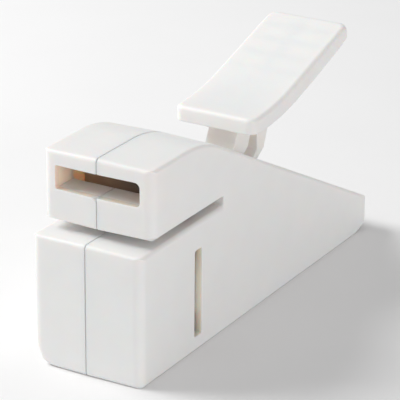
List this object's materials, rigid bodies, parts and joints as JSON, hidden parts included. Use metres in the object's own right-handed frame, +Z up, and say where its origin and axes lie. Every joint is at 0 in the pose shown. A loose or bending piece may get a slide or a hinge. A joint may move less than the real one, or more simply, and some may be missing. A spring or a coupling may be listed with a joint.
{
  "type": "handheld bag heat sealer",
  "caption": "Palm-size bag sealer with a stepped nose, an open throat for the bag, a sloping back and a raised thumb lever that lifts a heated bar against a pad.",
  "frame": {"origin": "centre of the bounding box, on the plane of the base", "axes": "+Y runs from the jaws to the tail, +Z is up, +X is the side on the right when the jaws face the viewer"},
  "size_m": [0.034, 0.1304, 0.066],
  "materials": {
    "shell_plastic": "fine satin moulded ABS, warm white",
    "lever_plastic": "fine satin moulded ABS, warm white",
    "arm_plastic": "natural moulded acetal, slightly warmer than the shells",
    "steel": "turned, zinc plated",
    "brass": "stamped, dull",
    "nickel": "nickel plated, dull",
    "phenolic": "moulded heat-resistant resin",
    "shield_plastic": "moulded heat-resistant plastic",
    "ptfe_tape": "woven glass cloth with a non-stick coat",
    "silicone": "moulded silicone rubber",
    "cell_jacket": "printed sleeve without lettering, bare ends"
  },
  "bodies": {
    "case": {"right_shell": "shell_plastic", "left_shell": "shell_plastic", "shell_screw_1": "steel", "shell_screw_2": "steel", "shell_screw_3": "steel", "shell_screw_4": "steel", "lever_axle": "steel", "silicone_pad": "silicone", "pad_holder": "shield_plastic", "head_shield": "shield_plastic", "return_spring_left": "steel", "return_spring_right": "steel", "leaf_contact_left": "brass", "leaf_contact_right": "brass", "battery_left": "cell_jacket", "battery_right": "cell_jacket", "rear_contact_bridge": "nickel", "cell_spring_front": "nickel", "cell_spring_rear": "nickel"},
    "lever": {"lever_arm": "arm_plastic", "lever_paddle": "lever_plastic", "paddle_screw_left": "steel", "paddle_screw_right": "steel", "lift_pin": "steel", "axle_bush_left": "brass", "axle_bush_right": "brass"},
    "carriage": {"carriage": "arm_plastic", "heater_block": "phenolic", "heater_strip": "nickel", "ptfe_cover": "ptfe_tape", "contact_tab_left": "brass", "contact_tab_right": "brass", "terminal_screw_left": "steel", "terminal_screw_right": "steel"},
    "door": {"battery_door": "shell_plastic"}
  },
  "joints": [
    {"name": "lever_hinge", "type": "hinge", "parent": "case", "child": "lever", "pos_m": [0, -0.01723, 0.0235], "axis": [-1, 0, 0], "range_deg": [0, 26.4], "stiffness_Nm_per_rad": 0.15, "springref_deg": -28.65},
    {"name": "carriage_slide", "type": "slide", "parent": "case", "child": "carriage", "axis": [0, 0, 1], "range_m": [0, 0.00817], "deforming": ["return_spring_left", "return_spring_right"]},
    {"name": "door_slide", "type": "slide", "parent": "case", "child": "door", "axis": [0, 1, 0], "range_m": [0, 0.07]}
  ],
  "couplings": [
    {"joint": "carriage_slide", "follows": "lever_hinge", "m_per_rad": 0.017742}
  ]
}
